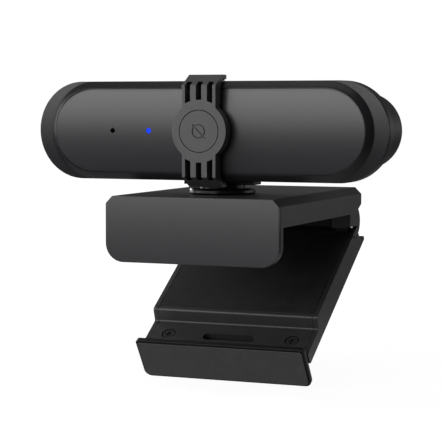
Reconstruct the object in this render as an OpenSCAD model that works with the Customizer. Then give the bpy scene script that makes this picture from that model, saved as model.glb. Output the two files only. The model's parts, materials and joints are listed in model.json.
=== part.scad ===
// Webcam with a sliding lens cover, a tilting and swivelling head and a folding clip for the top
// of a screen.
// +X is to the right, the lens looks along -Y and +Z is up.
// The origin is on the swivel axis, in the face of the pad that rests on top of the screen.

/* [Head] */
// Width of the camera head
head_w = 113.7; // [108:0.1:118]
// Height of the camera head
head_h = 29.94; // [29:0.01:31]
// Length of the raised front rim
rim_w = 105; // [101:0.1:106]
// Depth of the head, from the front plate to the rear
head_d = 25; // [23:0.1:27]
// Height of the rear bulge
bulge_h = 23; // [22:0.1:25]
// Height of the head's centre line above the jaw
head_z = 19.4; // [19:0.1:22]

/* [Lens cover] */
// Width of the cover's band
band_w = 10.9; // [10:0.1:13]
// Diameter of the cover's disc
disc_d = 17.5; // [16:0.1:20]
// Width of each slot in the band
slot_w = 1.7; // [1.2:0.1:2]

/* [Clip] */
// Width of the lip and the leg
clip_w = 56; // [54:0.5:60]
// Depth of the jaw, from the lip's front to the rear end
jaw_d = 76.6; // [74:0.1:82]
// Height of the jaw's sides
jaw_h = 8.35; // [8:0.05:9]
// Height of the front lip
lip_h = 19.9; // [16:0.1:24]
// Bevel along the jaw's upper edges
bevel = 2.18; // [1.5:0.01:2.6]

/* [Leg] */
// Angle of the leg below the horizontal at rest
leg_angle = 33; // [20:1:60]
// Distance from the leg's pivot to the toe's front face
leg_l = 61.7; // [58:0.1:66]
// Height of the toe plate
toe_h = 14.7; // [13:0.1:16]
// Diameter of the tripod screw's thread
tripod_d = 6.35; // [6.35]

/* [Hidden] */
$fn = 64;
fit = 0.05;              // running and assembly clearance
seam = 0.45;             // visible gap between neighbouring pieces
wall = 1.6;              // moulded wall

// Clip: lengths along Y run back from the lip's front face, heights run down from the jaw's top
swivel_y = 24.4;         // swivel axis
pad_proud = 0.25;
jaw_top_z = jaw_h + pad_proud;
side_x = clip_w / 2 - 0.1;
inner_x = side_x - wall;
lip_plate_t = 1.2;
lip_gap = 0.4;
lip_t = 3.4;
lip_round = 5.7;
top_wall = 2;
pivot_y = jaw_d - 6.4;   // pivot of the leg
pivot_z = -11;
ear_r = 5.1;
knuckle_r = 2.4;         // hinge barrel, just inside the pad's face
pin_r = 1.2;
block_x = 21.2;          // half width of the hinge block
knuckle_x0 = block_x + 0.2;
knuckle_x1 = inner_x - 1;
house_y = pivot_y - ear_r;
house_z = -12.5;
plate_t = 1.3;
plate_z0 = -jaw_h + 0.05;
plate_y0 = 4.6;
plate_y1 = house_y - 0.6;
screw_x = 22;
screw_ys = [10, 58];

// Leg: u runs from the pivot towards the toe, v runs from the pivot towards the outer face
leg_in = 2.6;
leg_step_u = 46.4;
leg_end_v = 6.75;
ridge_r = 1;
step_r = 0.8;
step_a = 75;
leg_end_u = leg_l - 3.4;
leg_out = 10.8;
shell_t = 1.6;
leg_pad_t = 1.2;
leg_top_u = -0.3;         // the frame's upper end, close under the hinge block
leg_pad_u0 = 3.5;
leg_pad_u1 = 44.4;
toe_t = 1.95;
toe_v0 = 2.65;
toe_u = leg_end_u - 1.3;
toe_v = 8.9;
toe_pin_r = 0.8;
lug_r = 1.5;
lug_x = [10, 17];
toe_pad_t = 0.45;
toe_corner = 1.1;
toe_round = 2.3;
toe_rim = 0.75;
toe_x = clip_w / 2 + 0.15;  // half width of the toe
screw_u = 52.5;
leg_screw_x = 20.8;
leg_head_r = 2;
insert_u = 26;
insert_r = 5;
insert_l = 6.4;
end_slot = [17.6, 3.1];
end_slot_u = 52.8;

// Head: lengths along Y run back from the front panel's face
panel_y = 10.4;          // front panel's face behind the lip's front
end_r = head_h / 2;
rim_half = rim_w / 2 - end_r;
body_half = head_w / 2 - end_r;
bulge_r = bulge_h / 2;
bulge_half = body_half + 1.5; // the rear bulge reaches a little further sideways
rim_d = 2;               // depth of the raised rim
panel_r = 12.68;
panel_t = 1.5;
panel_bow_r = 130;       // the panel is a little convex from top to bottom
seam_d = 0.9;            // depth of the front frame's visible side
section_d = 7.6;         // where the full-height section ends
head_wall = 1.5;
floor_d = 3.2;           // back of the frame's floor, behind the panel
frame_window = [34, 9.4];
led_x = -18.5;
mic_x = -30.6;
hole_r = 0.78;
window_r = 6;
window_t = 0.8;
barrel_r = 5;
barrel_thread_r = 4;
barrel_bore_r = 3.4;
barrel_d = [1.9, 11.4];
holder_d = 9.2;
board_d = 14.2;
board_t = 1.2;
board_x = 37;
board_z = [-7.2, 9.6];
board_screw_x = 33.5;
front_board_d = 5.6;
case_screw_x = 46;
inlet_z = 1.5;
inlet_r = 2;
inlet_body_r = 3.4;

// Lens cover, on the head's centre
cover_d = 4.4;           // front of the cover ahead of the panel
cover_t = 3.7;
cover_bend_r = 13.7;     // half height of the cover's flat front
cover_half_h = 16.85;
cover_top_d = 1.0;       // where the bevel meets the top, behind the panel
cover_end_d = 4.1;       // rear end of the arms
cover_arm_t = 1.2;
cover_hook_h = 0.5;       // gap between the hooks and the head
slot_pitch = 3.55;
slot_r = 9.35;           // the slots end on a circle around the disc
slot_top = 14.7;
cap_r = 6.35;
disc_r = disc_d / 2;

// Neck
base_r = 10.2;
base_h = 1.9;
neck_half_x = 11.5;
neck_half_y = 3.2;
neck_z0 = 2.9;
tilt_z = 7.4;
tilt_pin_r = 1.25;
tilt_boss_x = 15;
tilt_boss_r = 2.6;
pocket_x = 12.2;
pocket_y = 4.3;
stem_r = 7;
spigot_r = 3.2;
boss_z = -5;             // underside of the jaw's swivel boss
swivel_screw_r = 1.5;
neck_d = swivel_y - panel_y;
neck_h = tilt_z - head_z;

// ---------- helpers ----------

// Draws a Y-Z outline through the width w, centred on X
module across(w) rotate([90, 0, 90]) linear_extrude(height = w, center = true) children();

// Draws a Y-Z outline from x0 to x1
module span(x0, x1) translate([x0, 0, 0]) rotate([90, 0, 90]) linear_extrude(height = x1 - x0) children();

module both_sides() {
    children();
    mirror([1, 0, 0]) children();
}

module rod_x(r, x0, x1) translate([x0, 0, 0]) rotate([0, 90, 0]) cylinder(r = r, h = x1 - x0);
module rod_y(r, y0, y1) translate([0, y0, 0]) rotate([-90, 0, 0]) cylinder(r = r, h = y1 - y0);

// A block given by its lowest and highest corners
module block(a, b) translate(a) cube(b - a);

// A flat-sided body with round ends: pts are [radius, y], from the axis out and back to it
module pill(half, pts) {
    both_sides() translate([half, 0, 0]) rotate([-90, 0, 0]) rotate_extrude() polygon(pts);
    across(2 * half) polygon(mirrored([for (p = pts) [p[1], p[0]]]));
}

// A straight pill of radius r
module slab(half, r, y0, y1) pill(half, [[0, y0], [r, y0], [r, y1], [0, y1]]);

module in_clip() translate([0, -swivel_y, jaw_top_z]) children();
module in_head() translate([0, panel_y - swivel_y, jaw_top_z + head_z]) children();
module in_leg() in_clip() translate([0, pivot_y, pivot_z]) rotate([leg_angle, 0, 0]) children();
function uv(pts) = [for (p = pts) [-p[0], -p[1]]];

// A round screw head with a cross recess in its face, from z = 0 up to t
module cross_head(r, t) difference() {
    cylinder(r = r, h = t);
    for (a = [0, 90]) rotate([0, 0, a]) block([-r * 0.6, -r * 0.15, -1], [r * 0.6, r * 0.15, t * 0.5]);
}

// ---------- head ----------

module front_frame() color("#2b2b2d") in_head() difference() {
    union() {
        pill(rim_half, [[0, 0.1], [12.9, 0.1], [13.25, 0.3],
            [end_r, rim_d], [end_r, floor_d], [0, floor_d]]);
        slab(body_half, end_r, rim_d, rim_d + seam_d);
        slab(body_half, end_r - head_wall - fit, rim_d, floor_d + 1.6);
        both_sides() translate([case_screw_x, 0, 0]) rod_y(2.6, floor_d - 0.5, 9);
    }
    slab(rim_half, panel_r + 0.1, -1, panel_t + 0.3);
    block([-frame_window[0], -1, -frame_window[1]], [frame_window[0], 9, frame_window[1]]);
    difference() {
        slab(body_half, end_r - 3, floor_d, 10);
        both_sides() translate([case_screw_x, 0, 0]) rod_y(2.6, floor_d - 1, 11);
    }
    both_sides() translate([case_screw_x, 0, 0]) rod_y(0.9, floor_d + 1, 10);
}

module front_panel() color("#46474a") in_head() difference() {
    intersection() {
        slab(rim_half, panel_r, 0, panel_t + 0.25);
        translate([0, panel_bow_r, 0]) rotate([0, 90, 0])
            cylinder(r = panel_bow_r, h = head_w, center = true, $fn = 200);
    }
    rod_y(window_r + fit, -1, window_t + 0.1);
    rod_y(window_r - 1, -1, 4);
    translate([led_x, 0, 0]) rod_y(hole_r + fit, -1, 4);
    translate([mic_x, 0, 0]) rod_y(hole_r, -1, 4);
}

module rear_cover() color("#242426") in_head() difference() {
    union() {
        difference() {
            rear_outer();
            slab(body_half, end_r - head_wall, 0, section_d - 1.5);
            pill(body_half, [[0, 3], [bulge_r - 1.7, 3], [bulge_r - 1.7, head_d - 3.4],
                [bulge_r - 3.6, head_d - 1.7], [0, head_d - 1.7]]);
        }
        intersection() {
            rear_outer();
            translate([0, neck_d, neck_h])
                block([-pocket_x - 1, -pocket_y - 1, -4], [pocket_x + 1, pocket_y + 1, neck_half_y + 1.3]);
        }
        translate([0, neck_d, neck_h]) both_sides() {
            rod_x(tilt_boss_r, pocket_x, tilt_boss_x);
            block([pocket_x, -tilt_boss_r, 0], [tilt_boss_x, tilt_boss_r, neck_half_y]);
        }
        both_sides() translate([case_screw_x, 0, 0]) rod_y(2.6, 9.1, head_d - 1);
        board_screw_places() rod_y(2.2, board_d + board_t + 0.05, head_d - 1);
    }
    translate([0, neck_d, neck_h])
        block([-pocket_x, -pocket_y, -9], [pocket_x, pocket_y, neck_half_y + 0.4]);
    translate([0, neck_d, neck_h]) rod_x(tilt_pin_r, -tilt_boss_x + 1, tilt_boss_x - 1);
    translate([0, 0, inlet_z]) rod_y(inlet_body_r, head_d - 4, head_d + 1);
    both_sides() translate([case_screw_x, 0, 0]) {
        rod_y(2, head_d - 1.2, head_d + 1);
        rod_y(1, 8, head_d);
    }
    board_screw_places() rod_y(0.8, board_d, board_d + 5);
}

module rear_outer() {
    pill(body_half, [[0, rim_d + seam_d + seam], [end_r, rim_d + seam_d + seam], [end_r, section_d - 0.4],
        [end_r - 0.4, section_d], [0, section_d]]);
    pill(bulge_half, [[0, section_d - 1], [bulge_r, section_d - 1], [bulge_r, head_d - 3.2],
        [bulge_r - 0.4, head_d - 1.8], [bulge_r - 1.4, head_d - 0.6], [bulge_r - 3, head_d],
        [0, head_d]]);
}

module board_screw_places() for (x = [-board_screw_x, board_screw_x], z = [-4.4, 6.6])
    translate([x, 0, z]) children();

module lens_window() color("#101418") in_head() rod_y(window_r, 0.15, window_t);

module lens_barrel() color("#1a1a1c") in_head() difference() {
    union() {
        rod_y(barrel_r, barrel_d[0], barrel_d[0] + 4.4);
        rod_y(barrel_thread_r, barrel_d[0], barrel_d[1]);
    }
    rod_y(barrel_bore_r, barrel_d[0] - 1, barrel_d[1] + 1);
}

// Glass elements of the lens, each between its seats in the barrel
module lens_elements() color("#3c4a58") in_head()
    for (e = [[2.4, 1.3], [4.3, 0.9], [5.9, 1.4], [8.2, 1.1], [9.9, 0.4]])
        rod_y(barrel_bore_r, e[0], e[0] + e[1]);

module lens_holder() color("#1c1c1e") in_head() difference() {
    union() {
        block([-7, 12, -7], [7, board_d, 7]);
        rod_y(barrel_thread_r + 1.4, holder_d, 12.5);
    }
    rod_y(barrel_thread_r, holder_d - 1, 11.5);
    rod_y(barrel_bore_r - 0.4, 11, 12.6);
    block([-5.5, 12.5, -5.5], [5.5, board_d + 1, 5.5]);
}

module image_sensor() color("#3a3f3a") in_head() block([-4.2, board_d - 1.1, -4.2], [4.2, board_d, 4.2]);

module main_board() color("#17452c") in_head() difference() {
    block([-board_x, board_d, board_z[0]], [board_x, board_d + board_t, board_z[1]]);
    board_screw_places() rod_y(1.1, board_d - 1, board_d + board_t + 1);
}

module board_screws() color("#8d8f93") in_head() board_screw_places() {
    rod_y(1.8, board_d - 0.9, board_d);
    rod_y(0.8, board_d - 0.9, board_d + 4.6);
}

module cable_socket() color("#d8d4c6") in_head() difference() {
    block([12, board_d + board_t, 0], [21, board_d + board_t + 4.2, 4.4]);
    block([12.8, board_d + board_t + 1, 0.8], [20.2, board_d + board_t + 5, 3.6]);
}

// Small board behind the panel that carries the microphone and the status light
module front_board() color("#17452c") in_head()
    block([-33.6, front_board_d, -3.2], [-15.5, front_board_d + 0.8, 3.2]);

module microphone() color("#b9bbc0") in_head() translate([mic_x, 0, 0]) difference() {
    rod_y(1.9, front_board_d - 1.6, front_board_d);
    rod_y(0.5, front_board_d - 2, front_board_d - 0.8);
}

module mic_gasket() color("#141414") in_head() translate([mic_x, 0, 0]) difference() {
    rod_y(2, panel_t + 0.25, front_board_d - 1.6);
    rod_y(hole_r, 0, front_board_d);
}

module status_led() color("#e8ecf4") in_head() translate([led_x, 0, 0])
    block([-0.9, front_board_d - 0.9, -0.7], [0.9, front_board_d, 0.7]);

module light_pipe() color("#2a52ff") in_head() translate([led_x, 0, 0]) {
    rod_y(hole_r, 0.02, front_board_d - 1);
    rod_y(hole_r + 0.8, panel_t + 0.25, panel_t + 1);
}

// Bush around the hole where a lead enters the head
module cable_inlet_bush() color("#161617") in_head() translate([0, 0, inlet_z]) difference() {
    union() {
        rod_y(inlet_body_r, head_d - 3.8, head_d);
        rod_y(inlet_body_r + 1, head_d, head_d + 0.8);
    }
    rod_y(inlet_r, head_d - 5, head_d + 2);
}

module case_screws() color("#6d6f73") in_head() both_sides() translate([case_screw_x, head_d - 1.2, 0])
    rotate([90, 0, 0]) union() {
        translate([0, 0, -0.7]) cross_head(1.8, 0.7);
        cylinder(r = 0.9, h = head_d - 1.2 - floor_d - 3);
    }

module tilt_pin() color("#9a9ca0") in_head() translate([0, neck_d, neck_h])
    rod_x(tilt_pin_r, -tilt_boss_x + 1, tilt_boss_x - 1);

// ---------- lens cover ----------

module cover_band() color("#4a4b4e") in_head() difference() {
    union() {
        across(band_w) difference() {
            polygon(mirrored(cover_edge));
            polygon(mirrored(cover_hollow));
        }
        rod_y(disc_r, -cover_d, -cover_d + cover_t);
    }
    for (x = [-slot_pitch, 0, slot_pitch]) difference() {
        block([x - slot_w / 2, -cover_d - 1, -slot_top], [x + slot_w / 2, rim_d, slot_top]);
        rod_y(slot_r, -cover_d - 2, rim_d + 1);
    }
    rod_y(cap_r, -cover_d - 1, -cover_d + 1.1);
    rod_y(disc_r - 1.3, -cover_d + 2.2, 0);
}

// Closes a Y-Z outline given by its upper half, mirrored below the centre line
function mirrored(v) = concat(v, [for (i = [len(v) - 1:-1:0]) [v[i][0], -v[i][1]]]);

// Upper half of the band's outer outline, from the front to the hook
cover_edge = [[-cover_d, cover_bend_r], [cover_top_d, cover_half_h], [cover_end_d, cover_half_h]];

// Upper half of its inner outline: the bevel, the arm's underside, the slide rib and the hook
cover_hollow = [
    [cover_t - cover_d, 12.6], [1.7, cover_half_h - cover_arm_t], [2.1, cover_half_h - cover_arm_t],
    [2.1, end_r + fit], [2.8, end_r + fit], [2.8, cover_half_h - cover_arm_t],
    [3.1, cover_half_h - cover_arm_t],
    [3.1, end_r + cover_hook_h], [cover_end_d + 1, end_r + cover_hook_h]
];

module cover_cap() color("#505154") in_head() difference() {
    rod_y(cap_r - 0.2, -cover_d, -cover_d + 1.1);
    difference() {
        rod_y(2.2, -cover_d - 1, -cover_d + 0.25);
        rod_y(1.75, -cover_d - 2, -cover_d + 1);
    }
    rotate([0, 45, 0]) block([-2.9, -cover_d - 1, -0.22], [2.9, -cover_d + 0.25, 0.22]);
}

// ---------- neck ----------

module swivel_base() color("#141415") in_clip() translate([0, swivel_y, 0]) difference() {
    union() {
        rotate_extrude() polygon([[0, 0.15], [base_r - 0.3, 0.15], [base_r, 0.5], [base_r, base_h - 0.7],
            [base_r - 0.25, base_h - 0.2], [base_r - 0.9, base_h], [stem_r, base_h],
            [stem_r, neck_z0], [0, neck_z0]]);
        translate([0, 0, boss_z - 0.05]) cylinder(r = spigot_r, h = 5.5);
    }
    translate([0, 0, boss_z - 1]) cylinder(r = swivel_screw_r + fit, h = 12);
}

module neck_bracket() color("#1b1b1c") in_clip() translate([0, swivel_y, 0]) difference() {
    union() {
        block([-neck_half_x, -neck_half_y, neck_z0], [neck_half_x, neck_half_y, tilt_z]);
        translate([0, 0, tilt_z]) rod_x(neck_half_y, -neck_half_x, neck_half_x);
    }
    translate([0, 0, tilt_z]) rod_x(tilt_pin_r + fit, -neck_half_x - 1, neck_half_x + 1);
    translate([0, 0, neck_z0 - 1]) cylinder(r = swivel_screw_r, h = 3.8);
}

module tilt_washers() color("#85878b") in_clip() translate([0, swivel_y, tilt_z])
both_sides() difference() {
    rod_x(2.9, neck_half_x + 0.1, pocket_x - 0.1);
    rod_x(tilt_pin_r + fit, neck_half_x - 1, pocket_x + 1);
}

module swivel_washer() color("#85878b") in_clip() translate([0, swivel_y, boss_z - 0.55]) difference() {
    cylinder(r = 5.5, h = 0.45);
    translate([0, 0, -1]) cylinder(r = swivel_screw_r + fit, h = 3);
}

module swivel_screw() color("#85878b") in_clip() translate([0, swivel_y, boss_z - 1.6]) union() {
    cross_head(3, 1.05);
    cylinder(r = swivel_screw_r, h = 1.6 - boss_z + neck_z0 + 2.4);
}

// ---------- clip ----------

// Front view of the lip: bevelled upper corners and round lower ones
module lip_shape(half, h) polygon(concat(
    [[-half, -bevel], [bevel - half, 0], [half - bevel, 0], [half, -bevel]],
    arc([half - lip_round, lip_round - h], lip_round, 0),
    arc([lip_round - half, lip_round - h], lip_round, -90)));

// Extrudes an X-Z shape from y0 to y1
module facing(y0, y1) translate([0, y1, 0]) rotate([90, 0, 0])
    linear_extrude(height = y1 - y0) children();

// Point of the leg's side at rest, in the clip's Y and Z
function leg_point(u, v) = [pivot_y - u * cos(leg_angle) + v * sin(leg_angle),
    pivot_z - u * sin(leg_angle) - v * cos(leg_angle)];
line_u = (pivot_z - house_z - leg_in * cos(leg_angle)) / sin(leg_angle);

// Side of the housing around the pivot: flat in front and below, round behind, and cut back along the leg
module ear_shape() {
    difference() {
        translate([pivot_y, pivot_z]) circle(r = ear_r);
        polygon([leg_point(line_u, leg_in), leg_point(line_u + 14, leg_in), [house_y - 8, house_z]]);
    }
    polygon([[house_y, 1 - jaw_h], [house_y, house_z], [pivot_y + 1, house_z], [pivot_y + 1, 1 - jaw_h]]);
}

module jaw_outer() {
    intersection() {
        across(2 * side_x) polygon([[lip_plate_t + lip_gap, 0], [jaw_d, 0], [jaw_d, -5.5],
            [jaw_d - 3.2, -7.1], [pivot_y, -jaw_h], [lip_plate_t + lip_gap, -jaw_h]]);
        facing(0, jaw_d + 1) polygon([[bevel - side_x, 0], [side_x - bevel, 0], [side_x, -bevel],
            [side_x, -20], [-side_x, -20], [-side_x, -bevel]]);
    }
    facing(lip_plate_t + lip_gap, lip_t) lip_shape(side_x, lip_h - 0.1);
    facing(lip_plate_t, lip_t) lip_shape(side_x - 1, lip_h - 1.1);
    both_sides() span(inner_x, side_x) ear_shape();
}

module jaw_shell() color("#3a3a3c") in_clip() difference() {
    union() {
        difference() {
            jaw_outer();
            block([-inner_x, plate_y0 - 0.1, -jaw_h - 1], [inner_x, jaw_d - 2, -top_wall]);
        }
        translate([0, swivel_y, boss_z]) cylinder(r = 6.5, h = -boss_z - top_wall + 0.1);
        both_sides()
            block([block_x + 0.25, house_y, house_z - 0.3], [inner_x + 0.1, house_y + 0.9, 0.1 - top_wall]);
        jaw_screw_places() translate([0, 0, plate_z0 + plate_t]) cylinder(r = 2.4, h = 5.1);
    }
    translate([0, swivel_y, boss_z - 1]) cylinder(r = spigot_r + fit, h = 9);
    jaw_screw_places() translate([0, 0, plate_z0]) cylinder(r = 0.8, h = plate_t + 3.5);
    translate([0, pivot_y, pivot_z]) rod_x(pin_r, -inner_x - 0.9, inner_x + 0.9);
}
module jaw_screw_places() for (x = [-screw_x, screw_x], y = screw_ys) translate([x, y, 0]) children();

module jaw_plate() color("#303032") in_clip() difference() {
    block([-inner_x + fit, plate_y0, plate_z0], [inner_x - fit, plate_y1, plate_z0 + plate_t]);
    block([-inner_x + 2, plate_y0 + 2, plate_z0 - 1], [inner_x - 2, plate_y1 - 2, plate_z0 + 0.6]);
    jaw_screw_places() translate([0, 0, plate_z0 - 1]) cylinder(r = 0.95, h = 5);
}

// Rubber pad that rests on top of the screen, over the heads of the jaw's screws
module jaw_pad() color("#171718") in_clip() difference() {
    block([-inner_x + 2.1, plate_y0 + 2.1, -jaw_top_z], [inner_x - 2.1, plate_y1 - 2.1, plate_z0 + 0.6]);
    jaw_screw_places() translate([0, 0, plate_z0 - 0.1]) cylinder(r = 1.9, h = 2);
}

module jaw_screws() color("#85878b") in_clip() jaw_screw_places()
translate([0, 0, plate_z0 - 0.05]) union() {
    cross_head(1.8, 0.65);
    cylinder(r = 0.8, h = plate_t + 3.2);
}

module lip_plate() color("#4b4b4e") in_clip() facing(0, lip_plate_t) lip_shape(clip_w / 2, lip_h);

module lip_pad() color("#171718") in_clip() facing(lip_t, lip_t + 0.9)
    polygon([[-23, -jaw_h - 1.2], [23, -jaw_h - 1.2], [23, -lip_h + 3], [21.5, -lip_h + 1.5],
        [-21.5, -lip_h + 1.5], [-23, -lip_h + 3]]);

// Block inside the rear of the jaw that carries the middle of the leg's pin
module hinge_block() color("#2a2a2c") in_clip() difference() {
    union() {
        block([-block_x, house_y, house_z], [block_x, pivot_y + 1, -top_wall - fit]);
        block([-block_x, pivot_y, -8], [block_x, pivot_y + 3.2, -top_wall - fit]);
        translate([0, pivot_y, pivot_z]) rod_x(knuckle_r, -block_x, block_x);
    }
    translate([0, pivot_y, pivot_z]) rod_x(pin_r, -block_x - 1, block_x + 1);
}

module leg_pin() color("#9a9ca0") in_clip() translate([0, pivot_y, pivot_z])
    rod_x(pin_r, -inner_x - 0.9, inner_x + 0.9);

// ---------- leg ----------

// Rounded ridge and step where the soft pad ends and the recessed end zone begins
ridge_u = leg_step_u - 1.6;
fillet_u = ridge_u + (ridge_r + step_r) * sin(step_a)
    + (leg_end_v - leg_in - (ridge_r + step_r) * (1 - cos(step_a))) / tan(step_a);
leg_ridge = concat(
    [for (t = [0:15:step_a]) [ridge_u + ridge_r * sin(t), leg_in + ridge_r * (1 - cos(t))]],
    [for (t = [step_a:-15:0]) [fillet_u - step_r * sin(t), leg_end_v - step_r * (1 - cos(t))]]);

module leg_shell() color("#3c3c3e") in_leg() difference() {
    union() {
        both_sides() span(inner_x, side_x) polygon(uv(concat([[-0.5, leg_in]], leg_ridge,
            [[leg_end_u, leg_end_v], [leg_end_u, leg_out - 0.5], [leg_end_u - 0.5, leg_out],
            [-4.4, leg_out], [-4.8, leg_out - 0.4], [-4.8, 9.6], [-4.5, 9.3], [-2.6, 9.2], [-0.9, 6.6]])));
        across(2 * side_x) polygon(uv([[leg_end_u, leg_out - shell_t], [leg_end_u, leg_out - 0.5],
            [leg_end_u - 0.5, leg_out], [-4.4, leg_out], [-4.8, leg_out - 0.4], [-4.8, 9.6], [-4.5, 9.3],
            [-2.6, leg_out - shell_t]]));
    }
    rod_x(ear_r + 0.25, -side_x - 1, side_x + 1);
    lug_notches();
    toe_axis() rod_x(toe_pin_r, -19, 19);
    insert_place() cylinder(r = insert_r + fit, h = 20, center = true);
    leg_screw_places() translate([0, 0, -3.4]) cylinder(r = 0.8, h = 3.4);
}

module toe_axis() translate([0, -toe_u, -toe_v]) children();
module insert_place() translate([0, -insert_u, -leg_out]) children();
// Places of the leg's screws, with +Z pointing out of the face of the end zone
module leg_screw_places() both_sides() translate([leg_screw_x, -screw_u, -leg_end_v]) children();
module lug_notches() both_sides()
    block([lug_x[0] - 0.2, -leg_end_u - 1, -12], [lug_x[1] + 0.2, -toe_u + lug_r + 0.25, -leg_end_v + 1]);

module leg_frame() color("#222223") in_leg() difference() {
    union() {
        across(2 * (inner_x - 0.1)) polygon(uv(concat([[leg_top_u, leg_in], [leg_pad_u0, leg_in],
            [leg_pad_u0, leg_in + leg_pad_t], [leg_pad_u1, leg_in + leg_pad_t], [leg_pad_u1, leg_in]],
            leg_ridge, [[leg_end_u, leg_end_v], [leg_end_u, leg_out - shell_t - fit],
            [leg_top_u, leg_out - shell_t - fit]])));
        both_sides() span(knuckle_x0, knuckle_x1) union() {
            circle(r = knuckle_r);
            polygon(uv([[leg_top_u, 0], [knuckle_r - 0.1, 0], [knuckle_r - 0.1, 6], [leg_top_u, 6]]));
        }
    }
    difference() {
        block([-21, -42, -12], [21, -12, -leg_in - leg_pad_t - 1.7]);
        insert_place() cylinder(r = insert_r + 1.6, h = 20, center = true);
    }
    both_sides() rod_x(pin_r + fit, knuckle_x0 - 1, knuckle_x1 + 1);
    lug_notches();
    toe_axis() rod_x(toe_pin_r, -19, 19);
    insert_place() translate([0, 0, -1]) cylinder(r = insert_r, h = insert_l + 1);
    leg_screw_places() translate([0, 0, -4]) cylinder(r = 0.95, h = 5);
    leg_screw_places() translate([0, 0, -1]) cylinder(r = leg_head_r + 0.3, h = 3);
    translate([0, -end_slot_u, -12]) linear_extrude(height = 12) union() {
        square([end_slot[0] - end_slot[1], end_slot[1]], center = true);
        for (s = [-1, 1]) translate([s * (end_slot[0] - end_slot[1]) / 2, 0]) circle(d = end_slot[1]);
    }
}

module leg_pad() color("#101011") in_leg() across(2 * (inner_x - 0.15))
    polygon(uv([[leg_pad_u0 + fit, leg_in], [leg_pad_u1 - fit, leg_in],
        [leg_pad_u1 - fit, leg_in + leg_pad_t], [leg_pad_u0 + fit, leg_in + leg_pad_t]]));

module leg_screws() color("#3a3a3c") in_leg() leg_screw_places() rotate([180, 0, 0]) union() {
    translate([0, 0, 0.15]) cross_head(leg_head_r, 0.85);
    translate([0, 0, 0.9]) cylinder(r = 0.8, h = 2.4);
}

// Threaded insert for a tripod screw, its hole at the thread's outer diameter
module tripod_insert() color("#b08d4f") in_leg() insert_place() difference() {
    cylinder(r = insert_r, h = insert_l);
    translate([0, 0, -1]) cylinder(d = tripod_d, h = insert_l);
}

module toe_pin() color("#9a9ca0") in_leg() toe_axis() rod_x(toe_pin_r, -19, 19);

// ---------- toe ----------

// Front view of the toe, with small upper corners of radius a and larger lower ones of radius b
module toe_shape(half, v0, v1, a, b) polygon(concat(
    arc([a - half, -v0 - a], a, 180), arc([half - a, -v0 - a], a, 90),
    arc([half - b, b - v1], b, 0), arc([b - half, b - v1], b, -90)));

// Points of a quarter circle about c, running clockwise from angle a
function arc(c, r, a) = [for (t = [0:7.5:90]) c + r * [cos(a - t), sin(a - t)]];

module toe_plate() color("#1d1d1e") in_leg() difference() {
    union() {
        facing(toe_pad_t - leg_l, toe_t - leg_l)
            toe_shape(toe_x, toe_v0, toe_v0 + toe_h, toe_corner, toe_round);
        both_sides() {
            toe_axis() rod_x(lug_r, lug_x[0], lug_x[1]);
            block([lug_x[0], toe_t - leg_l - 0.2, -toe_v - lug_r], [lug_x[1], -toe_u, -toe_v + lug_r]);
        }
    }
    toe_axis() rod_x(toe_pin_r + fit, -20, 20);
}

module toe_pad() color("#47474a") in_leg() facing(-leg_l, toe_pad_t - leg_l)
    toe_shape(toe_x - toe_rim, toe_v0 + toe_rim, toe_v0 + toe_h - toe_rim,
        toe_corner / 2, toe_round - toe_rim);

front_frame();
front_panel();
rear_cover();
lens_window();
lens_barrel();
lens_elements();
lens_holder();
image_sensor();
main_board();
board_screws();
cable_socket();
front_board();
microphone();
mic_gasket();
status_led();
light_pipe();
cable_inlet_bush();
case_screws();
tilt_pin();
cover_band();
cover_cap();
swivel_base();
neck_bracket();
tilt_washers();
swivel_washer();
swivel_screw();
jaw_shell();
jaw_plate();
jaw_pad();
jaw_screws();
lip_plate();
lip_pad();
hinge_block();
leg_pin();
leg_shell();
leg_frame();
leg_pad();
leg_screws();
tripod_insert();
toe_pin();
toe_plate();
toe_pad();
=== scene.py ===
"""A webcam on a folding screen clip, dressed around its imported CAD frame."""

import json
import math

import bmesh
import bpy
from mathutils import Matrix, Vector


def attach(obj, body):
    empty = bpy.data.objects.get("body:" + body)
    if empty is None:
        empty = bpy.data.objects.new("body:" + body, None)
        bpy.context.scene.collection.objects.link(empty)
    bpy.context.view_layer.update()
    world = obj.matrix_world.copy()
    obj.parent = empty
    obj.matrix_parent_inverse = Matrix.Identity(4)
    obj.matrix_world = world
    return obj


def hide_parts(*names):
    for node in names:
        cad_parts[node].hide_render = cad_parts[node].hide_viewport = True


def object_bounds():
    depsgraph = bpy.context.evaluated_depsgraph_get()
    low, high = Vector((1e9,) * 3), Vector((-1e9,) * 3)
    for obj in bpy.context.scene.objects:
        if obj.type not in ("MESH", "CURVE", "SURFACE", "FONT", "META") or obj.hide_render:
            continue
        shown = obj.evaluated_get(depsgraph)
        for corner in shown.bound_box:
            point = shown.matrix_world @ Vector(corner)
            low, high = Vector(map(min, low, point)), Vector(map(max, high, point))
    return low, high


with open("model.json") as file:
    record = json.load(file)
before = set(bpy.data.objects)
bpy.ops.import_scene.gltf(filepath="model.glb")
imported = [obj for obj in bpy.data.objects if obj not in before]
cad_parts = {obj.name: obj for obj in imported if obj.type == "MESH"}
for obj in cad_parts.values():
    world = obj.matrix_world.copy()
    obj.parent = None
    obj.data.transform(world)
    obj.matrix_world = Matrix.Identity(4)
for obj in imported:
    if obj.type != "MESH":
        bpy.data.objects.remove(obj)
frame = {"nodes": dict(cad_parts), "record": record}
cad_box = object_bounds()

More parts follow.
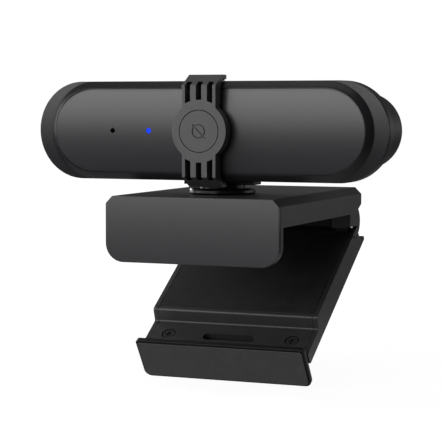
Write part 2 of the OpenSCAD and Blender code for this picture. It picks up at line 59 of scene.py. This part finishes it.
MM = 0.001                  # one millimetre in Blender's metres
MOST_NOISE = (0.3, 0.7)     # nearly all values of a noise texture lie in here
MID_NOISE = (0.35, 0.65)    # narrower, so that its highest and lowest values are held level
OPEN_SKY = 1.0              # how bright the surroundings look to the camera
SKY_LIGHT = 0.1             # how much they light the object
FLOOR_GAP = 0.1 * MM        # between the lowest piece and the floor
bodies = frame["record"]["behaviour"]["bodies"]
body_of_node = {node: body for body, nodes in bodies.items() for node in nodes}
slot_of_node = {part["node"]: part["material_slot"] for part in frame["record"]["subparts"]}


# ---------- materials ----------

def shader(name, color, roughness, **sockets):
    """A new material and its Principled shader, with constant values set on the shader's own sockets."""
    mat = bpy.data.materials.new(name)
    mat.use_nodes = True
    bsdf = mat.node_tree.nodes["Principled BSDF"]
    bsdf.inputs["Base Color"].default_value = (*color, 1)
    bsdf.inputs["Roughness"].default_value = roughness
    for socket, value in sockets.items():
        bsdf.inputs[socket.replace("_", " ")].default_value = value
    return mat, bsdf


def noise(mat, size, detail=3.0, stretch=(1, 1, 1), distort=0.0):
    """Noise in the object's own coordinates, with cells about size metres across."""
    tree = mat.node_tree
    coords = tree.nodes.new("ShaderNodeTexCoord")
    mapping = tree.nodes.new("ShaderNodeMapping")
    mapping.inputs["Scale"].default_value = [s / size for s in stretch]
    tex = tree.nodes.new("ShaderNodeTexNoise")
    tex.inputs["Scale"].default_value = 1.0
    tex.inputs["Detail"].default_value = detail
    tex.inputs["Distortion"].default_value = distort
    tree.links.new(coords.outputs["Object"], mapping.inputs["Vector"])
    tree.links.new(mapping.outputs["Vector"], tex.inputs["Vector"])
    return tex.outputs["Fac"]


def remap(mat, value, low, high, to_low, to_high):
    """value from low..high to to_low..to_high, held at the ends."""
    node = mat.node_tree.nodes.new("ShaderNodeMapRange")
    for socket, number in zip(node.inputs[1:5], (low, high, to_low, to_high)):
        socket.default_value = number
    mat.node_tree.links.new(value, node.inputs["Value"])
    return node.outputs["Result"]


def blend(mat, factor, first, second):
    """Colour between first and second; each is a colour or a socket."""
    tree = mat.node_tree
    node = tree.nodes.new("ShaderNodeMix")
    node.data_type = "RGBA"
    sockets = [s for s in node.inputs if s.type == "RGBA"]
    for socket, value in zip(sockets, (first, second)):
        if isinstance(value, bpy.types.NodeSocket):
            tree.links.new(value, socket)
        else:
            socket.default_value = (*value, 1)
    tree.links.new(factor, node.inputs["Factor"])
    return [s for s in node.outputs if s.type == "RGBA"][0]


def bump(mat, bsdf, height, strength, depth):
    """Gives the shader a bump of depth metres."""
    tree = mat.node_tree
    node = tree.nodes.new("ShaderNodeBump")
    node.inputs["Strength"].default_value = strength
    node.inputs["Distance"].default_value = depth
    tree.links.new(height, node.inputs["Height"])
    tree.links.new(node.outputs["Normal"], bsdf.inputs["Normal"])


def edge_wear(mat, amount, size, reach=0.25 * MM):
    """A mask that rises to amount on edges, broken up by noise of this size.

    It compares the surface's normal with the one it would have if its edges were rounded by reach.
    """
    flat, worn = 0.995, 0.90    # how alike the two normals are on a face and on an edge
    tree = mat.node_tree
    geometry = tree.nodes.new("ShaderNodeNewGeometry")
    rounded = tree.nodes.new("ShaderNodeBevel")
    rounded.samples = 4
    rounded.inputs["Radius"].default_value = reach
    likeness = tree.nodes.new("ShaderNodeVectorMath")
    likeness.operation = "DOT_PRODUCT"
    tree.links.new(geometry.outputs["Normal"], likeness.inputs[0])
    tree.links.new(rounded.outputs["Normal"], likeness.inputs[1])
    edges = remap(mat, likeness.outputs["Value"], flat, worn, 0.0, amount)
    patches = remap(mat, noise(mat, size, 4), 0.45, 0.62, 0.15, 1.0)
    node = tree.nodes.new("ShaderNodeMath")
    node.operation = "MULTIPLY"
    tree.links.new(edges, node.inputs[0])
    tree.links.new(patches, node.inputs[1])
    return node.outputs["Value"]


def recess_shade_mask(mat, reach=1.6 * MM):
    """A mask that is 1 on open surfaces and falls towards 0 in seams, slots and corners, where it paints
    shade.
    """
    node = mat.node_tree.nodes.new("ShaderNodeAmbientOcclusion")
    node.inputs["Distance"].default_value = reach
    node.samples = 8
    return node.outputs["AO"]


def moulded(name, color, roughness, relief=0.25, mottle=0.10, spread=0.02, wear=0.35, **sockets):
    """Moulded plastic: fine spark texture, soft mottling, roughness that varies and paler rubbed edges.

    relief is the strength of the grain, mottle and spread are how far colour and roughness vary, and
    wear is how strong the rubbed edges are. Seams and slots get painted shade: darker colour and less
    shine.
    """
    grain, grain_depth = 0.22 * MM, 0.02 * MM
    stain, smear, rub = 9 * MM, 14 * MM, 3 * MM     # sizes of the patches of tone, roughness and wear
    # painted shade: colour and shine in a deep seam fall to these fractions
    painted_shade_color, painted_shade_shine = 0.25, 0.08         # what is left of colour and shine in a deep seam
    mat, bsdf = shader(name, color, roughness, **sockets)
    tree = mat.node_tree
    darker = [c * (1 - mottle) for c in color]
    lighter = [c * (1 + mottle) for c in color]
    tone = remap(mat, noise(mat, stain, 5, distort=0.6), *MID_NOISE, 0, 1)
    base = blend(mat, tone, darker, lighter)
    rubbed = [min(1, c * 2.2 + 0.01) for c in color]
    base = blend(mat, edge_wear(mat, wear, rub), base, rubbed)
    # painted shade: colour darkens in seams, slots and corners
    painted_shade = [c * painted_shade_color for c in color]
    base = blend(mat, remap(mat, recess_shade_mask(mat), 0.2, 0.9, 0, 1), painted_shade, base)
    tree.links.new(base, bsdf.inputs["Base Color"])
    smears = noise(mat, smear, 4, (1, 1, 0.5), 0.8)
    rough = remap(mat, smears, *MOST_NOISE, roughness - spread, roughness + spread)
    tree.links.new(rough, bsdf.inputs["Roughness"])
    full_shine = bsdf.inputs["Specular IOR Level"].default_value
    # painted shade: shine drops in seams, slots and corners
    shine = remap(mat, recess_shade_mask(mat), 0.25, 0.95, painted_shade_shine, full_shine)
    tree.links.new(shine, bsdf.inputs["Specular IOR Level"])
    bump(mat, bsdf, noise(mat, grain, 2), relief, grain_depth)
    return mat


def rubber(name, color, roughness):
    """Soft rubber: dusty, with a fine pebbled grain."""
    mat, bsdf = shader(name, color, roughness, Specular_IOR_Level=0.35)
    dust = remap(mat, noise(mat, 6 * MM, 6, distort=1.0), 0.45, 0.75, 0, 0.22)
    dusty = [c * 1.8 + 0.004 for c in color]
    mat.node_tree.links.new(blend(mat, dust, color, dusty), bsdf.inputs["Base Color"])
    rough = remap(mat, noise(mat, 5 * MM, 3), *MOST_NOISE, roughness - 0.08, roughness + 0.1)
    mat.node_tree.links.new(rough, bsdf.inputs["Roughness"])
    bump(mat, bsdf, noise(mat, 0.35 * MM, 3), 0.35, 0.03 * MM)
    return mat


def metal(name, color, roughness, brushed=(1, 12, 12)):
    """Bare or plated metal with fine lines and a little tarnish; brushed squeezes the lines by axis."""
    mat, bsdf = shader(name, color, roughness, Metallic=1.0)
    tarnish = remap(mat, noise(mat, 4 * MM, 5), 0.4, 0.75, 0, 0.6)
    dull = [c * 0.6 for c in color]
    mat.node_tree.links.new(blend(mat, tarnish, color, dull), bsdf.inputs["Base Color"])
    lines = noise(mat, 1.5 * MM, 4, brushed)
    rough = remap(mat, lines, *MOST_NOISE, roughness * 0.75, roughness * 1.35)
    mat.node_tree.links.new(rough, bsdf.inputs["Roughness"])
    bump(mat, bsdf, noise(mat, 1.2 * MM, 2, brushed), 0.2, 0.01 * MM)
    return mat


def circuit_board(name):
    """Green solder mask over faint copper lands."""
    mat, bsdf = shader(name, (0.012, 0.10, 0.045), 0.38, Coat_Weight=0.3, Coat_Roughness=0.15)
    tree = mat.node_tree
    coords = tree.nodes.new("ShaderNodeTexCoord")
    lands = tree.nodes.new("ShaderNodeTexBrick")
    lands.inputs["Scale"].default_value = 1 / (9 * MM)
    lands.inputs["Mortar Size"].default_value = 0.03
    lands.inputs["Color1"].default_value = (0.010, 0.09, 0.040, 1)
    lands.inputs["Color2"].default_value = (0.014, 0.12, 0.055, 1)
    lands.inputs["Mortar"].default_value = (0.03, 0.20, 0.08, 1)
    swap = tree.nodes.new("ShaderNodeMapping")
    swap.inputs["Rotation"].default_value = (math.pi / 2, 0, 0)
    tree.links.new(coords.outputs["Object"], swap.inputs["Vector"])
    tree.links.new(swap.outputs["Vector"], lands.inputs["Vector"])
    tree.links.new(lands.outputs["Color"], bsdf.inputs["Base Color"])
    rough = remap(mat, noise(mat, 3 * MM), *MOST_NOISE, 0.3, 0.5)
    tree.links.new(rough, bsdf.inputs["Roughness"])
    bump(mat, bsdf, lands.outputs["Fac"], 0.3, 0.03 * MM)
    return mat


def clear(name, color, roughness, ior, **sockets):
    """Glass or clear plastic with faint smears."""
    mat, bsdf = shader(name, color, roughness, Transmission_Weight=0.9, IOR=ior, **sockets)
    smears = remap(mat, noise(mat, 2.5 * MM, 5, distort=1.2), 0.4, 0.8, roughness, roughness + 0.06)
    mat.node_tree.links.new(smears, bsdf.inputs["Roughness"])
    return mat


def glowing(name, color, strength):
    """The status light's lens: it glows evenly, under a faintly cloudy surface."""
    mat, bsdf = shader(name, color, 0.4, Specular_IOR_Level=0.1,
                       Emission_Color=(*color, 1), Emission_Strength=strength)
    tone = remap(mat, noise(mat, 0.5 * MM, 2), *MOST_NOISE, 0, 1)
    cloudy = [c * 0.85 for c in color]
    mat.node_tree.links.new(blend(mat, tone, color, cloudy), bsdf.inputs["Base Color"])
    return mat


looks = {
    "satin_charcoal": moulded("satin_charcoal", (0.014, 0.014, 0.016), 0.33, relief=0.15, spread=0.01,
                              Specular_IOR_Level=0.30),
    "rear_charcoal": moulded("rear_charcoal", (0.020, 0.020, 0.022), 0.46, relief=0.35),
    "panel_grey": moulded("panel_grey", (0.024, 0.024, 0.027), 0.27, relief=0.04, mottle=0.02,
                          spread=0.003),
    "cover_grey": moulded("cover_grey", (0.062, 0.062, 0.065), 0.42, relief=0.15, mottle=0.04),
    "clip_charcoal": moulded("clip_charcoal", (0.026, 0.026, 0.028), 0.42, relief=0.3),
    "neck_black": moulded("neck_black", (0.007, 0.007, 0.008), 0.45, Specular_IOR_Level=0.25),
    "gloss_black": moulded("gloss_black", (0.006, 0.006, 0.007), 0.24, relief=0.03, spread=0.04,
                           wear=0.1),
    "rubber_black": rubber("rubber_black", (0.010, 0.010, 0.011), 0.62),
    "toe_rubber": rubber("toe_rubber", (0.036, 0.036, 0.038), 0.5),
    "steel": metal("steel", (0.55, 0.55, 0.57), 0.28),
    "black_steel": moulded("black_steel", (0.022, 0.022, 0.023), 0.36, relief=0.1),
    "mic_can": metal("mic_can", (0.7, 0.7, 0.7), 0.25),
    "brass": metal("brass", (0.72, 0.52, 0.24), 0.25, (8, 1, 8)),
    "board_green": circuit_board("board_green"),
    "socket_ivory": moulded("socket_ivory", (0.62, 0.58, 0.46), 0.45, wear=0.1),
    "barrel_black": moulded("barrel_black", (0.008, 0.008, 0.008), 0.55),
    "holder_black": moulded("holder_black", (0.012, 0.012, 0.012), 0.5),
    "sensor": moulded("sensor", (0.03, 0.035, 0.04), 0.12, relief=0.02, Coat_Weight=0.6),
    "led_body": moulded("led_body", (0.7, 0.68, 0.5), 0.3, wear=0.0),
    "window_glass": clear("window_glass", (0.75, 0.78, 0.82), 0.02, 1.45),
    "lens_glass": clear("lens_glass", (0.62, 0.60, 0.85), 0.01, 1.6,
                        Thin_Film_Thickness=420.0, Thin_Film_IOR=1.38),
    "blue_lens": glowing("blue_lens", (0.0005, 0.03, 0.68), 1.0),
}


# ---------- pieces ----------

# How far the edges of each outer piece are eased, in mm
edge_widths = {
    "front_frame": 0.15, "rear_cover": 0.2, "front_panel": 0.12, "cover_band": 0.18, "cover_cap": 0.08,
    "jaw_shell": 0.25, "jaw_plate": 0.15, "jaw_pad": 0.15, "lip_plate": 0.2, "lip_pad": 0.2,
    "hinge_block": 0.2, "leg_shell": 0.2, "leg_frame": 0.2, "leg_pad": 0.15, "leg_screws": 0.06,
    "toe_plate": 0.6, "toe_pad": 0.15, "neck_bracket": 0.3, "cable_inlet_bush": 0.2,
    "case_screws": 0.06, "jaw_screws": 0.06, "tripod_insert": 0.12, "leg_pin": 0.1,
}
# Radius of the shaded bow of each front, and how far its crown lies below the middle, in mm
bows = {"front_panel": (105, 0), "front_frame": (95, 0), "lip_plate": (400, 13)}


def dress(obj, slot):
    """Gives a piece the look of a material slot."""
    obj.data.materials.clear()
    obj.data.materials.append(looks[slot])


def bow_normals(mesh, radius, lean):
    """Shades the front as a shallow bow from top to bottom, its crown lean metres below the middle."""
    facing_front = -0.97
    front = [face for face in mesh.polygons if face.normal.y < facing_front]
    points = [mesh.vertices[i].co for face in front for i in face.vertices]
    low, high = min(p.z for p in points), max(p.z for p in points)
    crown = (low + high) / 2 - lean
    normals = [Vector(corner.vector) for corner in mesh.corner_normals]
    for face in front:
        for corner in face.loop_indices:
            rise = mesh.vertices[mesh.loops[corner].vertex_index].co.z - crown
            normals[corner] = Vector((0, -math.sqrt(radius ** 2 - rise ** 2), rise)).normalized()
    mesh.normals_split_custom_set(normals)


def eased(node, width):
    """A finished copy of a CAD node: its sharp edges are eased by width, and it replaces the node."""
    weld = 0.002 * MM
    coplanar = math.radians(0.4)    # faces closer than this in angle are joined
    sharp = math.radians(28)        # edges steeper than this are eased
    crease = math.radians(40)       # and edges still steeper than this are shaded as sharp
    mesh = frame["nodes"][node].data.copy()
    mesh.name = node + "_finished"
    bm = bmesh.new()
    bm.from_mesh(mesh)
    bmesh.ops.remove_doubles(bm, verts=bm.verts, dist=weld)
    bmesh.ops.dissolve_limit(bm, angle_limit=coplanar, verts=bm.verts, edges=bm.edges)
    corners = [e for e in bm.edges if e.is_manifold and e.calc_face_angle() > sharp]
    bmesh.ops.bevel(bm, geom=corners, offset=width, segments=3, profile=0.5, affect="EDGES",
                    clamp_overlap=True, miter_outer="ARC", offset_type="OFFSET")
    bm.to_mesh(mesh)
    bm.free()
    for face in mesh.polygons:
        face.use_smooth = True
    mesh.set_sharp_from_angle(angle=crease)
    obj = bpy.data.objects.new(node + "_finished", mesh)
    bpy.context.collection.objects.link(obj)
    if node in bows:
        radius, lean = bows[node]
        bow_normals(mesh, radius * MM, lean * MM)
    else:
        flat = obj.modifiers.new("flat_faces", "WEIGHTED_NORMAL")
        flat.mode = "FACE_AREA"
        flat.weight = 90
        flat.keep_sharp = True
    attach(obj, body_of_node[node])
    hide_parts(node)
    dress(obj, slot_of_node[node])


for node, width in edge_widths.items():
    eased(node, width * MM)

for node, obj in frame["nodes"].items():
    dress(obj, slot_of_node[node])


# ---------- floor, light and camera ----------

def floor(height):
    """A wide white floor: it looks nearly white, but throws back only as much light as a grey one.

    Its own glow is what the camera sees, a little dimmer near the object as a painted shadow. What it
    throws on the object fades with the distance.
    """
    reach = 40      # metres from the middle to each side
    albedo = 0.1
    # painted shadow: the glow the camera sees is lower near the object than far away
    painted_shadow_glow, glow_far, painted_shadow_zone = 0.94, 1.0, (0.10, 0.35)
    bounce_near, bounce_far, bounce_zone = 0.35, 0.0, (0.08, 0.22)
    mesh = bpy.data.meshes.new("floor")
    corners = ((-reach, -reach), (reach, -reach), (reach, reach), (-reach, reach))
    mesh.from_pydata([(x, y, height) for x, y in corners], [], [(0, 1, 2, 3)])
    obj = bpy.data.objects.new("floor", mesh)
    bpy.context.collection.objects.link(obj)
    mat, bsdf = shader("floor_white", (albedo, albedo, albedo), 0.7, Specular_IOR_Level=0.0)
    bsdf.inputs["Emission Color"].default_value = (1, 1, 1, 1)
    tree = mat.node_tree
    coords = tree.nodes.new("ShaderNodeTexCoord")
    away = tree.nodes.new("ShaderNodeVectorMath")
    away.operation = "LENGTH"
    tree.links.new(coords.outputs["Object"], away.inputs[0])
    glow = remap(mat, away.outputs["Value"], *painted_shadow_zone, painted_shadow_glow, glow_far)
    bounce = remap(mat, away.outputs["Value"], *bounce_zone, bounce_near, bounce_far)
    path = tree.nodes.new("ShaderNodeLightPath")
    seen = tree.nodes.new("ShaderNodeMapRange")
    tree.links.new(path.outputs["Is Camera Ray"], seen.inputs["Value"])
    tree.links.new(bounce, seen.inputs["To Min"])
    tree.links.new(glow, seen.inputs["To Max"])
    tree.links.new(seen.outputs["Result"], bsdf.inputs["Emission Strength"])
    mesh.materials.append(mat)


def softbox(name, place, aim, size, power):
    """A rectangular light of size metres and power watts at place, turned towards aim."""
    data = bpy.data.lights.new(name, "AREA")
    data.shape = "RECTANGLE"
    data.size, data.size_y = size
    data.energy = power
    obj = bpy.data.objects.new(name, data)
    obj.location = place
    obj.rotation_euler = (Vector(aim) - Vector(place)).to_track_quat("-Z", "Y").to_euler()
    bpy.context.collection.objects.link(obj)


def around(azimuth, elevation, distance):
    """The place in that direction from the origin: azimuth 0 is straight in front, 90 on the right."""
    a, e = math.radians(azimuth), math.radians(elevation)
    return Vector((math.sin(a) * math.cos(e), -math.cos(a) * math.cos(e), math.sin(e))) * distance


def sky(strength, seen):
    """Even white surroundings: strength is how much they light, seen is how bright they look."""
    world = bpy.data.worlds.new("studio")
    bpy.context.scene.world = world
    world.use_nodes = True
    tree = world.node_tree
    background = tree.nodes["Background"]
    background.inputs["Color"].default_value = (1, 1, 1, 1)
    path = tree.nodes.new("ShaderNodeLightPath")
    mix = tree.nodes.new("ShaderNodeMapRange")
    mix.inputs["To Min"].default_value = strength
    mix.inputs["To Max"].default_value = seen
    tree.links.new(path.outputs["Is Camera Ray"], mix.inputs["Value"])
    tree.links.new(mix.outputs["Result"], background.inputs["Strength"])


def camera(aim, distance, turn, tilt, focal):
    """Looks at aim from distance, turned about +Z and tilted down by degrees; focal is in mm."""
    data = bpy.data.cameras.new("camera")
    data.lens = focal
    data.clip_start = 20 * MM
    obj = bpy.data.objects.new("camera", data)
    obj.rotation_euler = (math.radians(90 - tilt), 0, math.radians(turn))
    bpy.context.collection.objects.link(obj)
    bpy.context.view_layer.update()
    obj.location = Vector(aim) + obj.matrix_world.to_3x3() @ Vector((0, 0, distance))
    bpy.context.scene.camera = obj


floor(cad_box[0][2] - FLOOR_GAP)
sky(SKY_LIGHT, OPEN_SKY)
HEAD = (0, 0, 20 * MM)
MIDDLE = (0, 0, 0)
# Name: where it stands, what it points at, its width and height in metres, its power in watts
lights = {
    "strip_low": (around(-28, 7, 1.2), HEAD, (1.3, 0.18), 2.7),
    "strip_mid": (around(-28, 17, 1.2), HEAD, (1.3, 0.2), 4.8),
    "strip_high": (around(-30, 33, 1.2), HEAD, (1.5, 0.3), 3),
    "front_left": (around(-70, 12, 1.1), HEAD, (0.5, 0.5), 3),
    "left": (around(-110, 10, 1.1), HEAD, (0.5, 0.5), 3),
    "back": (around(238, 18, 1.2), MIDDLE, (0.6, 0.6), 6),
    "top": (around(0, 85, 0.9), HEAD, (0.8, 0.6), 1.3),
    "back_right": (around(130, 5, 1.0), HEAD, (0.9, 0.3), 0.95),
    "right_high": (around(120, 50, 1.0), HEAD, (0.6, 0.5), 0.5),
}
for name, (place, aim, size, power) in lights.items():
    softbox(name, place, aim, size, power)
camera(aim=(0, -0.8 * MM, 0), distance=0.5078, turn=22.785, tilt=4.15, focal=134.1)
bpy.context.scene.view_settings.view_transform = "Standard"
